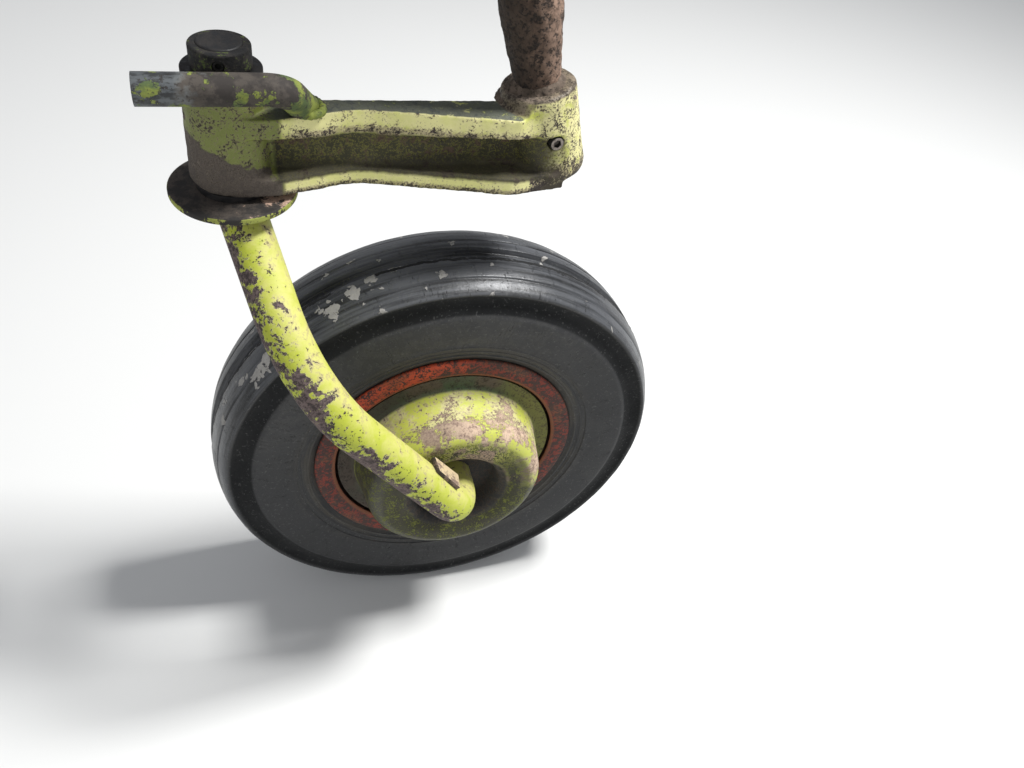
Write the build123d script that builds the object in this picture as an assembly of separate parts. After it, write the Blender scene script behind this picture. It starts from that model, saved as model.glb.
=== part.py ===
# Castor wheel unit of a hay tedder: one wheel on a bent leg that swivels under a cast carrier arm.
# The unit hangs from the upper end of its column, which is the origin. +Z is up, +X runs along
# the arm from the swivel to the column, and -Y is the side on which the leg passes the wheel.
# Lengths are in millimetres.
from build123d import *
from math import cos, pi, radians, sin, tan
import os

# Column, which leans back from the wheel's side of the arm
column_lean = 14.5            # degrees from upright
column_reach = 294.6          # foot of the column boss to the column's upper end
column_r = 20.0
neck_r = 15.5                 # turned down where it enters the boss
neck_show = 5.0               # neck seen above the boss
neck_cone = 45.0              # slope from the neck up to the full column
neck_blend = 20.0

# Carrier arm, one casting: column boss, channel beam and swivel boss
arm_centres = 209.6           # swivel axis to the foot of the column boss
column_boss_r = 27.6          # at its foot
column_boss_top_r = 25.0
column_boss_h = 63.0
swivel_boss_r = 25.5          # at its foot
swivel_boss_top_r = 24.0
swivel_boss_h = 68.0
boss_foot_rise = 4.0          # foot of the column boss above the casting's flat underside
foot_rounding = 5.0
top_rounding = 3.0
beam_h = 52.0
beam_back = 1.3               # flat back of the web behind the bosses' centre line
web_front = 8.0               # face of the web in front of it
top_flange_t = 13.0
top_flange_waist_t = 18.0
foot_flange_t = 12.0
shoulder_at = 28.0            # flanges leave the swivel boss's width, from its axis
waist_at = 76.0
waist_half = 10.5             # reach of the flanges at the waist
shoulder_rounding = 30.0
waist_rounding = 60.0
bulge_at = 32.5               # flanges reach furthest forward, from the column boss's foot
foot_bulge = 31.5             # reach of the foot flange there
top_bulge = 26.5
bulge_rounding = 13.0
gusset_w = 9.0                # cast corner between the column boss and the top flange
gusset_h = 11.0
pocket_corner = 8.0
pocket_end_rounding = 10.0
pocket_waist_rounding = 40.0
pocket_past = 6.5             # recess runs past the column boss's foot along its wall
pocket_wall = 2.4             # its wall behind the boss's surface
pocket_fade = 1.9             # the wall fades out to the right by this shift

# Swivel: a spindle on the leg's flange stands up through the arm and is held by a collar
spindle_r = 13.0
flange_r = 40.0
flange_t = 5.0
swivel_gap = 4.7              # under the casting, filled by the thrust washer
thrust_washer_r = 22.5
top_washer_r = 23.0
top_washer_t = 5.0
collar_r = 17.5
collar_h = 13.5
spindle_proud = 1.0           # spindle's end above the collar
turned_edge = 1.5             # broken edges of the turned pieces
washer_edge = 0.5

# Set screws with a hexagon socket
column_screw_r = 5.4
collar_screw_r = 3.5
column_screw_up = 31.0        # above the foot of the column boss
column_screw_turn = 7.5       # degrees from straight in front, towards the column boss's end
collar_screw_turn = -6.0
socket_share = 0.52           # socket's flats over the screw's diameter
socket_depth = 5.0
screw_sink = 0.8              # screw's face below the surface that it is screwed into

# Bent bar that passes just in front of the swivel boss and ends on the arm's top flange
bent_bar_r = 9.0
bent_bar_end = 46.0           # free end beyond the swivel axis
bent_bar_turn = 33.0          # bend past the swivel axis
bent_bar_foot = 45.0          # foot on the flange, past the swivel axis
bent_bar_foot_y = -9.0
bent_bar_bend_r = 17.0
bent_bar_gap = 2.4            # clear of the boss's edge
bent_bar_lie = 38.0           # degrees up from level at which it passes the boss's edge

# Leg: one round bar from the flange round to the wheel's axle
leg_r = 15.5
leg_height = 254.5            # flange's top above the wheel's axle
trail = 154.2
knee_back = 122.5             # upper bend, back from the axle
knee_height = 157.0           # and above it
knee_r = 130.0
corner_r = 28.0               # bend into the shield
leg_stand_off = 4.0           # leg clear of the shield's lip
axle_r = 12.5
cut_over = 0.5                # bars are swept this share of a run too long, then cut off square

# Keeper plate, let into the leg's back where it bends into the shield
keeper_t = 3.0
keeper_sink = 2.4             # its front face in front of the leg's back
keeper_corners = [            # (along X, along Z) from the axle
    (-28, 58),
    (-12, 44),
    (-2, 22),
    (0, 6),
    (-44, -10),
    (-52, 0),
]
keeper_rounding = 2.0

# Wheel
tyre_od = 386.0
tyre_w = 84.0
tread_half = 40.0
crown_shape = [               # (share of tread_half, fall from the tyre's full radius)
    (0.36, 0.9),
    (0.66, 3.5),
    (0.88, 7.3),
    (1.0, 11.0),              # shoulder's sharp edge
]
side_shape = [                # (in from the tyre's side, fall from its full radius)
    (5.0, 16.5),              # undercut below the shoulder
    (3.0, 25.6),
    (0.0, 32.0),              # ridge
    (1.0, 48.0),
]
crown_t = 14.0                # tread and carcass together in the middle
carcass_t = 8.0
bead_r = 101.6                # seat of an 8 inch rim
lip_r = 113.0
side_past_rim = 1.0           # sidewall outside the rim's lip
side_above_rim = 14.0
rim_half = 37.0
rim_t = 3.0
bead_w = 13.0
bead_play = 0.2
bead_room = 2.0               # rim's flat seat past the bead
lip_rounding = 1.5
mouth_rounding = 3.0
well_depth = 13.0
well_half = 10.0
disc_t = 3.5
disc_edge = 21.0              # dish's edge from the wheel's middle, on the side away from the leg
disc_seat = 1.0               # dish's flat seat on the hub
disc_seat_r = 40.0
disc_bend = 10.0
hub_r = 29.0
hub_inner = 30.0              # hub's end on the leg's side of the wheel's middle
hub_outer = 32.0
cap_r = 24.0
cap_h = 22.0
cap_flange_w = 3.0
cap_flange_t = 3.0
cap_draft = 2.0
cap_edge = 1.0
cap_dome_r = 14.0
hub_edge = 2.0
seal_r = 22.0
seal_t = 3.0
seal_edge = 0.8
valve_at = 155.0              # degrees round from straight up
valve_lean = 48.0             # degrees from the axle
valve_r = 5.5
valve_l = 36.0
valve_neck_r = 4.0
valve_neck_at = 22.5          # rubber foot slopes down to the neck from here
valve_neck_slope = 2.0
valve_edge = 0.5
valve_foot_in = 5.0           # behind the rim's well, inside the tyre
valve_hole_r = 9.5
valve_start = 3.0             # where it leaves the rim, from the wheel's middle
valve_cap_r = 4.6
valve_cap_h = 9.0

# Shield: a dish on the leg that covers the wheel's inner side and does not turn
shield_gap = 5.0              # clear of the rim all round
shield_set_in = 3.0           # ring's face behind the rim's lip
shield_t = 3.0
shield_ring_w = 13.5
shield_taper = 7.5            # wall's fall in radius from ring to lip
shield_depth = 43.0           # rim's lip to the shield's front
shield_lip_w = 26.5
shield_recess = 23.0
shield_lean_in = 4.5          # recess wall's fall in radius
shield_foot_rounding = 5.0    # ring into wall
shield_face_rounding = 4.0    # recess wall into its face
lip_roundness = 0.48          # lip's rounding over its width

# Clearances
turn_play = 0.06              # radial, where a shaft turns in a bore
seat_play = 0.05              # radial, where a piece is pushed into a bore
end_play = 0.3                # between faces that slide on each other

# Places that follow from the sizes
lean = radians(column_lean)
column_up = Vector(-sin(lean), 0, cos(lean))
boss_foot = column_up * -column_reach
column_axis = Axis(boss_foot, column_up)
swivel_x = boss_foot.X - arm_centres
arm_foot_z = boss_foot.Z - boss_foot_rise
arm_top_z = arm_foot_z + beam_h
swivel_boss_top_z = arm_foot_z + swivel_boss_h
flange_top_z = arm_foot_z - swivel_gap
flange_foot_z = flange_top_z - flange_t
swivel_axis = Axis((swivel_x, 0, flange_top_z), (0, 0, 1))
wheel_x = swivel_x + trail
wheel_z = flange_top_z - leg_height
wheel_axis = Axis((wheel_x, 0, wheel_z), (0, 1, 0))
tyre_r = tyre_od / 2
lip_mouth_r = bead_r - rim_t
shield_r = lip_mouth_r - shield_gap
shield_front = rim_half + shield_depth
recess_face = shield_front - shield_recess
leg_out = shield_front + leg_stand_off + leg_r


def turned(rows, axis):
    """A solid turned about an axis; each row is (along the axis, radius, corner radius)."""
    side = Vector(1, 0, 0) if abs(axis.direction.X) < 0.5 else Vector(0, 1, 0)
    plane = Plane(axis.position, x_dir=axis.direction, z_dir=axis.direction.cross(side))
    corners = [(along, radius) for along, radius, corner in rows]
    outline = FilletPolyline(*corners, radius=[corner for along, radius, corner in rows], close=True)
    return revolve(plane * make_face(outline), axis)


def ring(start, end, inner_r, outer_r, axis, rounding=0.0):
    """A washer, collar or sleeve, with its outer edges rounded."""
    rows = [
        (start, inner_r, 0),
        (start, outer_r, rounding),
        (end, outer_r, rounding),
        (end, inner_r, 0),
    ]
    return turned(rows, axis)


def rod(start, end, radius, axis, rounding=0.0):
    """A plain shaft, made as a quarter outline that closes on the axis."""
    rows = [(start, 0, 0), (start, radius, rounding), (end, radius, rounding), (end, 0, 0)]
    return turned(rows, axis)


def swept_bar(points, radii, radius):
    """A round bar bent along straight runs and arcs."""
    path = FilletPolyline(*points, radius=radii)
    section = Plane(path @ 0, z_dir=path % 0) * Circle(radius)
    return sweep(section, path=path)


def below(z):
    """Everything under a level, to cut a piece off square."""
    size = 2 * column_reach
    return Pos(swivel_x, 0, z - size / 2) * Box(size, size, size)


def above(z):
    size = 2 * column_reach
    return Pos(swivel_x, 0, z + size / 2) * Box(size, size, size)


def screw_axis(base_axis, up, turn):
    """Axis of a set screw, from the shaft's centre out through its boss towards -Y."""
    along = base_axis.direction
    across = Vector(0, 1, 0).cross(along).normalized()
    out = Vector(0, -1, 0) * cos(radians(turn)) + across * sin(radians(turn))
    return Axis(base_axis.position + along * up, out)


def set_screw(axis, start, end, radius):
    """A set screw with a hexagon socket in its outer face."""
    body = rod(start, end, radius, axis)
    across_flats = 2 * radius * socket_share
    corner_r = across_flats / 2 / cos(pi / 6)
    mouth = Plane(axis.position + axis.direction * end, z_dir=axis.direction)
    return body - extrude(mouth * RegularPolygon(corner_r, 6), -socket_depth)


def valve_line():
    """Axis of the valve, out of the rim's well and through the dish."""
    turn = radians(valve_at)
    out = Vector(sin(turn), 0, cos(turn))
    start_r = bead_r - well_depth - rim_t
    start = Vector(wheel_x, valve_start, wheel_z) + out * start_r
    tip = radians(valve_lean)
    return Axis(start, Vector(0, 1, 0) * cos(tip) - out * sin(tip))


valve_axis = valve_line()
column_screw_axis = screw_axis(column_axis, column_screw_up, column_screw_turn)
column_draft = (column_boss_r - column_boss_top_r) * column_screw_up / column_boss_h
column_screw_end = column_boss_r - column_draft - screw_sink
collar_foot_z = swivel_boss_top_z + top_washer_t + end_play
collar_axis = Axis((swivel_x, 0, collar_foot_z), (0, 0, 1))
collar_screw_axis = screw_axis(collar_axis, collar_h / 2, collar_screw_turn)


def beam_plan(level, bulge):
    """Outline of the beam at one level; bulge is how far its front comes near the column boss."""
    inside_boss = boss_foot.X + bulge_rounding / 2
    corners = [
        (swivel_x, -swivel_boss_top_r),
        (swivel_x + shoulder_at, -swivel_boss_top_r),
        (swivel_x + waist_at, -waist_half),
        (boss_foot.X - bulge_at, -bulge),
        (inside_boss, web_front - bulge),
        (inside_boss, beam_back),
        (swivel_x, beam_back),
    ]
    radii = [0, shoulder_rounding, waist_rounding, bulge_rounding, 0, 0, 0]
    return Plane.XY.offset(level) * make_face(FilletPolyline(*corners, radius=radii, close=True))


def carrier_arm():
    """Both bosses and the channel beam between them, cast in one."""
    beam = loft([beam_plan(arm_foot_z, foot_bulge), beam_plan(arm_top_z, top_bulge)])
    swivel_boss = turned(
        [
            (0, 0, 0),
            (0, swivel_boss_r, foot_rounding),
            (swivel_boss_h, swivel_boss_top_r, top_rounding),
            (swivel_boss_h, 0, 0),
        ],
        Axis((swivel_x, 0, arm_foot_z), (0, 0, 1)),
    )
    column_boss = turned(
        [
            (0, 0, 0),
            (0, column_boss_r, foot_rounding),
            (column_boss_h, column_boss_top_r, top_rounding),
            (column_boss_h, 0, 0),
        ],
        column_axis,
    )

    # recess between the flanges, which runs on into the column boss's wall
    waist_x = swivel_x + waist_at
    pocket_foot = arm_foot_z + foot_flange_t
    pocket_top = arm_top_z - top_flange_t
    pocket_end = boss_foot.X + pocket_past
    pocket = [
        (swivel_x, pocket_foot),
        (pocket_end, pocket_foot),
        (pocket_end - (pocket_top - pocket_foot) * tan(lean), pocket_top),
        (boss_foot.X - bulge_at, pocket_top),
        (waist_x, arm_top_z - top_flange_waist_t),
        (swivel_x + swivel_boss_r, pocket_top),
        (swivel_x, pocket_top),
    ]
    waist = pocket_waist_rounding
    radii = [0, pocket_corner, pocket_corner, waist, waist, pocket_end_rounding, 0]
    outline = FilletPolyline(*pocket, radius=radii, close=True)
    recess = extrude(Plane.XZ.offset(web_front) * make_face(outline), foot_bulge)
    wall = turned(
        [
            (pocket_wall, 0, 0),
            (pocket_wall, column_boss_r - pocket_wall, 0),
            (column_boss_h - top_rounding, column_boss_top_r - pocket_wall, 0),
            (column_boss_h - top_rounding, 0, 0),
        ],
        Axis(boss_foot + Vector(pocket_fade, 0, 0), column_up),
    )

    # cast corner that carries the top flange up to the column boss
    gusset_foot = column_boss_h - gusset_h
    gusset = turned(
        [
            (gusset_foot - gusset_h, neck_r, 0),
            (gusset_foot - gusset_h, column_boss_r + gusset_w, 0),
            (gusset_foot, column_boss_r + gusset_w / 3, gusset_w),
            (column_boss_h - top_rounding, column_boss_top_r, 0),
            (column_boss_h - top_rounding, neck_r, 0),
        ],
        column_axis,
    )
    gusset = gusset & extrude(beam_plan(arm_top_z, top_bulge), gusset_h)

    casting = beam + column_boss - recess + wall + swivel_boss + gusset
    spindle_bore = rod(0, 3 * swivel_boss_h, spindle_r + turn_play, swivel_axis)
    column_bore = rod(-column_boss_h, 2 * column_boss_h, neck_r + seat_play, column_axis)
    screw_bore = rod(0, 2 * column_boss_r, column_screw_r + seat_play, column_screw_axis)
    return casting - spindle_bore - column_bore - screw_bore


def rotor_column():
    rows = [
        (0, 0, 0),
        (0, neck_r, 0),
        (column_boss_h + neck_show, neck_r, neck_blend),
        (column_boss_h + neck_show + neck_cone, column_r, neck_blend),
        (column_reach, column_r, 0),
        (column_reach, 0, 0),
    ]
    return turned(rows, column_axis)


def bent_bar():
    """The bar passes the swivel boss's upper edge and is cut off square on the top flange."""
    lie = radians(bent_bar_lie)
    reach = bent_bar_r + bent_bar_gap
    y = -swivel_boss_top_r - reach * cos(lie)
    z = swivel_boss_top_z + reach * sin(lie)
    turn = Vector(swivel_x + bent_bar_turn, y, z)
    foot = Vector(swivel_x + bent_bar_foot, bent_bar_foot_y, arm_top_z)
    run_out = foot + (foot - turn) * cut_over
    points = [(swivel_x - bent_bar_end, y, z), turn, run_out]
    return swept_bar(points, [bent_bar_bend_r], bent_bar_r) - below(arm_top_z)


def castor_leg():
    """One bar, cut off square under the flange, bent twice and turned down to the axle."""
    top = Vector(swivel_x, 0, flange_foot_z)
    knee = Vector(wheel_x - knee_back, -leg_out, wheel_z + knee_height)
    run_in = top + (top - knee) * cut_over
    corner = Vector(wheel_x, -leg_out, wheel_z)
    shoulder = Vector(wheel_x, -hub_inner - end_play, wheel_z)
    bar = swept_bar([run_in, knee, corner, shoulder], [knee_r, corner_r], leg_r)
    bar = bar - above(flange_foot_z)
    return bar + rod(-hub_inner - end_play, hub_outer - end_play, axle_r, wheel_axis)


def keeper_plate(leg):
    """A flat plate across the leg's back, cut to fit round the leg."""
    corners = [(wheel_x + x, wheel_z + z) for x, z in keeper_corners]
    outline = FilletPolyline(*corners, radius=keeper_rounding, close=True)
    back = leg_out - leg_r + keeper_sink - keeper_t
    plate = extrude(Plane.XZ.offset(back) * make_face(outline), keeper_t)
    return plate - leg


def wheel_shield():
    """A pressed dish: flat ring, tapered wall, round lip and a recess that takes the leg."""
    ring_face = rim_half - shield_set_in
    ring_back = ring_face - shield_t
    wall_r = shield_r - shield_ring_w
    lip_outer = wall_r - shield_taper
    lip_inner = lip_outer - shield_lip_w
    face_r = lip_inner - shield_lean_in
    hole_r = leg_r + seat_play
    lip_round = shield_lip_w * lip_roundness
    rows = [
        (-ring_face, shield_r, 0),
        (-ring_face, wall_r, shield_foot_rounding),
        (-shield_front, lip_outer, lip_round),
        (-shield_front, lip_inner, lip_round),
        (-recess_face, face_r, shield_face_rounding),
        (-recess_face, hole_r, 0),
        (-recess_face + shield_t, hole_r, 0),
        (-recess_face + shield_t, face_r + shield_t, shield_face_rounding + shield_t),
        (-shield_front + shield_t, lip_inner + shield_t, lip_round - shield_t),
        (-shield_front + shield_t, lip_outer - shield_t, lip_round - shield_t),
        (-ring_back, wall_r - shield_t, shield_foot_rounding - shield_t),
        (-ring_back, shield_r, 0),
    ]
    return turned(rows, wheel_axis)


def tyre():
    """A hollow tyre: rounded crown, sharp shoulders, an undercut and a ridge down each side."""
    bead_side = rim_half - rim_t - bead_play
    bead_foot = rim_half - 2 * rim_t - bead_play
    side = tyre_w / 2
    ridge_fall = side_shape[2][1]
    outside = [(tread_half * share, tyre_r - fall) for share, fall in crown_shape]
    outside += [(side - inward, tyre_r - fall) for inward, fall in side_shape]
    outside += [
        (rim_half + side_past_rim, lip_r + side_above_rim),
        (bead_side, lip_r),
        (bead_foot, bead_r + bead_play),
    ]
    inside = [
        (bead_foot - bead_w, bead_r + bead_play),
        (side - carcass_t, lip_r + side_above_rim),
        (side - carcass_t, tyre_r - ridge_fall),
        (tread_half - 2 * carcass_t, tyre_r - 2 * carcass_t),
    ]
    near_side = [(along, radius, 0) for along, radius in outside + inside]
    far_side = [(-along, radius, 0) for along, radius in reversed(outside + inside)]
    crown = [(0, tyre_r, 0)]
    crown_inside = [(0, tyre_r - crown_t, 0)]
    return turned(crown + near_side + crown_inside + far_side, wheel_axis)


def rim():
    """A rolled rim with a dropped middle, open to the tyre."""
    seat_end = rim_half - 2 * rim_t - bead_w - bead_room
    well_r = bead_r - well_depth
    outside = [
        (rim_half - rim_t, lip_r, 0),
        (rim_half - 2 * rim_t, bead_r, 0),
        (seat_end, bead_r, 0),
        (well_half, well_r, 0),
    ]
    inside = [
        (rim_half, lip_r - lip_rounding, lip_rounding),
        (rim_half - rim_t, lip_mouth_r, mouth_rounding),
        (seat_end + rim_t / 2, lip_mouth_r, 0),
        (well_half + rim_t / 2, well_r - rim_t, 0),
    ]
    far_outside = [(-along, radius, corner) for along, radius, corner in reversed(outside)]
    far_inside = [(-along, radius, corner) for along, radius, corner in inside]
    band = turned(outside + far_outside + far_inside + list(reversed(inside)), wheel_axis)
    return band - rod(-well_depth, well_depth, valve_r + seat_play, valve_axis)


def wheel_disc():
    """A dished disc from the hub out to the rim, with a hole for the valve."""
    rows = [
        (disc_seat, hub_r + seat_play, 0),
        (disc_seat, disc_seat_r, disc_bend),
        (disc_edge, lip_mouth_r - seat_play, 0),
        (disc_edge + disc_t, lip_mouth_r - seat_play, 0),
        (disc_seat + disc_t, disc_seat_r, disc_bend),
        (disc_seat + disc_t, hub_r + seat_play, 0),
    ]
    return turned(rows, wheel_axis) - rod(0, 2 * valve_l, valve_hole_r, valve_axis)


def hub_cap():
    """A domed cap with a narrow flange, pressed on the hub's outer end."""
    rows = [
        (hub_outer, 0, 0),
        (hub_outer, cap_r + cap_flange_w, cap_edge),
        (hub_outer + cap_flange_t, cap_r + cap_flange_w, cap_edge),
        (hub_outer + cap_flange_t, cap_r, cap_edge),
        (hub_outer + cap_h, cap_r - cap_draft, cap_dome_r),
        (hub_outer + cap_h, 0, 0),
    ]
    return turned(rows, wheel_axis)


def valve_stem():
    rows = [
        (-valve_foot_in, 0, 0),
        (-valve_foot_in, valve_r, valve_edge),
        (valve_neck_at, valve_r, valve_edge),
        (valve_neck_at + valve_neck_slope, valve_neck_r, valve_edge),
        (valve_l, valve_neck_r, 0),
        (valve_l, 0, 0),
    ]
    return turned(rows, valve_axis)


def main():
    os.makedirs("parts", exist_ok=True)
    leg = castor_leg()
    shield = wheel_shield()
    thrust_top = swivel_gap - end_play
    collar_foot = swivel_boss_top_z + top_washer_t + end_play - flange_top_z
    washer_foot = swivel_boss_top_z - flange_top_z
    spindle_top = collar_foot + collar_h + spindle_proud
    sleeve_r = spindle_r + turn_play

    nodes = {
        # fixed to the column
        "carrier_arm": carrier_arm(),
        "rotor_column": rotor_column(),
        "column_set_screw": set_screw(
            column_screw_axis, neck_r + seat_play, column_screw_end, column_screw_r
        ),
        "bent_bar": bent_bar(),
        "top_washer": ring(
            washer_foot, washer_foot + top_washer_t, sleeve_r, top_washer_r, swivel_axis, washer_edge
        ),
        # turned by the swivel
        "castor_leg": leg,
        "swivel_flange": rod(-flange_t, 0, flange_r, swivel_axis, turned_edge),
        "swivel_spindle": rod(0, spindle_top, spindle_r, swivel_axis, turned_edge),
        "thrust_washer": ring(0, thrust_top, sleeve_r, thrust_washer_r, swivel_axis, washer_edge),
        "stop_collar": ring(
            collar_foot, collar_foot + collar_h, sleeve_r, collar_r, swivel_axis, turned_edge
        )
        - rod(0, 2 * collar_r, collar_screw_r + seat_play, collar_screw_axis),
        "collar_screw": set_screw(
            collar_screw_axis, sleeve_r, collar_r - screw_sink, collar_screw_r
        ),
        "keeper_plate": keeper_plate(leg),
        "wheel_shield": shield,
        # turned by the axle
        "tyre": tyre(),
        "rim": rim(),
        "wheel_disc": wheel_disc(),
        "hub": ring(-hub_inner, hub_outer, axle_r + turn_play, hub_r, wheel_axis, hub_edge),
        "hub_seal": ring(
            -hub_inner - seal_t, -hub_inner, leg_r + end_play, seal_r, wheel_axis, seal_edge
        ),
        "hub_cap": hub_cap(),
        "valve_stem": valve_stem(),
        "valve_cap": rod(valve_l, valve_l + valve_cap_h, valve_cap_r, valve_axis, valve_edge),
    }
    for name, piece in nodes.items():
        export_step(piece, f"parts/{name}.step")


main()
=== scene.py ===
# Dresses the castor wheel unit of a hay tedder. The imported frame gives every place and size, in
# metres, with the origin at the column's upper end, +Z up and the leg on the wheel's -Y side.
from math import atan2, cos, pi, radians, sin

import bmesh
import bpy
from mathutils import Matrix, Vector
from mathutils.noise import noise


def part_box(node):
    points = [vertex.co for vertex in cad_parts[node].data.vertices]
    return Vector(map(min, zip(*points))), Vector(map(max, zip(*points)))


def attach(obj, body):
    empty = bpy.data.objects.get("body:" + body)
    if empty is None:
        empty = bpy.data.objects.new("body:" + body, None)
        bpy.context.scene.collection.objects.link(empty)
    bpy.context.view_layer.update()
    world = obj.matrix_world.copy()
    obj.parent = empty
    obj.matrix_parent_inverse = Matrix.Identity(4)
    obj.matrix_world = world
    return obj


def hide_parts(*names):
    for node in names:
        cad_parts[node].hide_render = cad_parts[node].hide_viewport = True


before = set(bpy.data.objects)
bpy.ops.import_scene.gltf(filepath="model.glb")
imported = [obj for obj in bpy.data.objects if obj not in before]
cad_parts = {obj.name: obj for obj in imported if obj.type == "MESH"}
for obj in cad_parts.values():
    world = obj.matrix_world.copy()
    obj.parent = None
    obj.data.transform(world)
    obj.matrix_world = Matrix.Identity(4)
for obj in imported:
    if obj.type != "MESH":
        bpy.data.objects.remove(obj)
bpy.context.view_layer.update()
mm = 0.001

# Camera, held in one hand over the wheel and looking down on it from the leg's side. Its place
# and turn were worked out from the wheel's circles in the photograph.
camera_place = Vector((-134.5, -487.7, 13.2)) * mm
camera_turn = (radians(45.233), radians(-8.218), radians(-15.945))
camera_lens = 29.37
bpy.ops.object.select_all(action="DESELECT")
bpy.ops.object.camera_add(location=camera_place, rotation=camera_turn)
camera = bpy.context.object
camera.data.lens = camera_lens
camera.data.sensor_width = 36
camera.data.clip_start = 0.01
bpy.context.scene.camera = camera


# Finishes are written as sums of masks. A Sheet of shader nodes adds them one by one, and a
# Mask is one node's output, which takes part in sums like a number; | takes the larger of two.
class Mask:
    def __init__(self, sheet, output):
        self.sheet = sheet
        self.output = output

    def sum(self, operation, *others):
        inputs = dict(enumerate((self, *others)))
        return self.sheet.node("ShaderNodeMath", {"operation": operation}, inputs)

    def __add__(self, other):
        return self.sum("ADD", other)

    def __radd__(self, other):
        return self.sum("ADD", other)

    def __sub__(self, other):
        return self.sum("SUBTRACT", other)

    def __rsub__(self, other):
        return self.sheet.node("ShaderNodeMath", {"operation": "SUBTRACT"}, {0: other, 1: self})

    def __mul__(self, other):
        return self.sum("MULTIPLY", other)

    def __rmul__(self, other):
        return self.sum("MULTIPLY", other)

    def __or__(self, other):
        return self.sum("MAXIMUM", other)


class Sheet:
    def __init__(self, name):
        self.material = bpy.data.materials.new(name)
        self.material.use_nodes = True
        self.nodes = self.material.node_tree.nodes
        self.links = self.material.node_tree.links
        self.shader = self.nodes["Principled BSDF"]
        self.point = self.node("ShaderNodeTexCoord", {}, {}, "Object")

    def node(self, kind, settings, inputs, output=0):
        made = self.nodes.new(kind)
        for setting, value in settings.items():
            setattr(made, setting, value)
        for place, value in inputs.items():
            if isinstance(value, Mask):
                self.links.new(value.output, made.inputs[place])
            else:
                made.inputs[place].default_value = value
        return Mask(self, made.outputs[output])

    def place(self, centre, stretch=(1, 1, 1)):
        """The point on the piece, from a centre and stretched."""
        moved = self.node("ShaderNodeVectorMath", {"operation": "SUBTRACT"}, {0: self.point, 1: centre})
        return self.node("ShaderNodeVectorMath", {"operation": "MULTIPLY"}, {0: moved, 1: stretch})

    def parts(self, where, axes="xyz"):
        """A point's coordinates, as many as are asked for."""
        return [self.node("ShaderNodeSeparateXYZ", {}, {0: where}, "xyz".index(axis)) for axis in axes]

    def on_wheel(self):
        """A point's place from the wheel's centre: across, along the axle, up, and out from the axle."""
        across, along, up = self.parts(self.place(wheel_centre))
        return across, along, up, (across * across + up * up).sum("SQRT")

    def noise(self, size, detail=4.0, rough=0.6, swirl=0.0, where=None):
        """Cloudy noise about 0.5; size is its largest spots in metres."""
        inputs = {"Scale": 1 / size, "Detail": detail, "Roughness": rough, "Distortion": swirl}
        inputs["Vector"] = where or self.point
        return self.node("ShaderNodeTexNoise", {}, inputs)

    def from_spot(self, spot):
        """How far the point is from a spot, in metres."""
        return self.node("ShaderNodeVectorMath", {"operation": "DISTANCE"}, {0: self.point, 1: spot}, "Value")

    def step(self, value, low, high):
        """0 under low, 1 over high and smooth between."""
        settings = {"interpolation_type": "SMOOTHSTEP"}
        return self.node("ShaderNodeMapRange", settings, {0: value, 1: low, 2: high, 3: 0.0, 4: 1.0})

    def band(self, value, low, high, soft):
        """1 between low and high, with soft edges."""
        return self.step(value, low - soft, low + soft) - self.step(value, high - soft, high + soft)

    def mix(self, mask, under, over):
        """A colour that goes from under to over as the mask goes from 0 to 1."""
        settings = {"data_type": "RGBA", "clamp_factor": True}
        colours = [c if isinstance(c, Mask) else (*c, 1) for c in (under, over)]
        return self.node("ShaderNodeMix", settings, {0: mask, 6: colours[0], 7: colours[1]}, 2)

    def facing(self, direction):
        """How far the surface faces a direction, from -1 to 1."""
        normal = self.node("ShaderNodeTexCoord", {}, {}, "Normal")
        aim = Vector(direction).normalized()
        return self.node("ShaderNodeVectorMath", {"operation": "DOT_PRODUCT"}, {0: normal, 1: aim}, "Value")

    def finish(self, colour, rough, metal=0.0, height=None, depth=0.0):
        """Sets the shader; height is a mask that stands depth metres high where it is 1."""
        for place, value in (("Base Color", colour), ("Roughness", rough), ("Metallic", metal)):
            if isinstance(value, Mask):
                self.links.new(value.output, self.shader.inputs[place])
            elif isinstance(value, tuple):
                self.shader.inputs[place].default_value = (*value, 1)
            else:
                self.shader.inputs[place].default_value = value
        if height:
            bump = self.node("ShaderNodeBump", {}, {"Strength": 1.0, "Distance": depth, "Height": height})
            self.links.new(bump.output, self.shader.inputs["Normal"])
        return self.material


# Floor: a plain pale sheet just under the tyre. What the camera sees of it is lighter than what
# it throws back on the piece.
floor_colour = (0.80, 0.80, 0.78)
floor_size = 12.0
floor_gap = 0.5 * mm
floor_material = Sheet("pale_floor").finish(floor_colour, 0.9)
tyre_low, tyre_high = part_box("tyre")
wheel_centre = (tyre_low + tyre_high) / 2
bpy.ops.object.select_all(action="DESELECT")
bpy.ops.mesh.primitive_plane_add(size=floor_size, location=(0, 0, tyre_low.z - floor_gap))
floor = bpy.context.object
floor.name = "floor"
floor.data.materials.append(floor_material)

# Lamps: one large soft lamp high on the right, as the sun stood, a wide weak one from the
# camera's side, and an even pale sky.
lamp_aim = wheel_centre.lerp(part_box("carrier_arm")[0], 0.5)
lamps = [
    # name, place from the aim, size, watts
    ("key_lamp", Vector((1.15, -0.05, 2.0)), 0.5, 78.0),
    ("fill_lamp", Vector((-1.4, -1.8, 1.2)), 2.5, 9.0),
]
for name, place, size, watts in lamps:
    bpy.ops.object.light_add(type="AREA", location=lamp_aim + place)
    lamp = bpy.context.object
    lamp.name = name
    lamp.rotation_mode = "QUATERNION"
    lamp.rotation_quaternion = (-place).to_track_quat("-Z", "Y")
    lamp.data.size = size
    lamp.data.energy = watts
sky_colour = (0.9, 0.93, 1.0)
sky_strength = 0.34
world = bpy.data.worlds.new("sky")
world.use_nodes = True
world.node_tree.nodes["Background"].inputs["Color"].default_value = (*sky_colour, 1)
world.node_tree.nodes["Background"].inputs["Strength"].default_value = sky_strength
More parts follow.
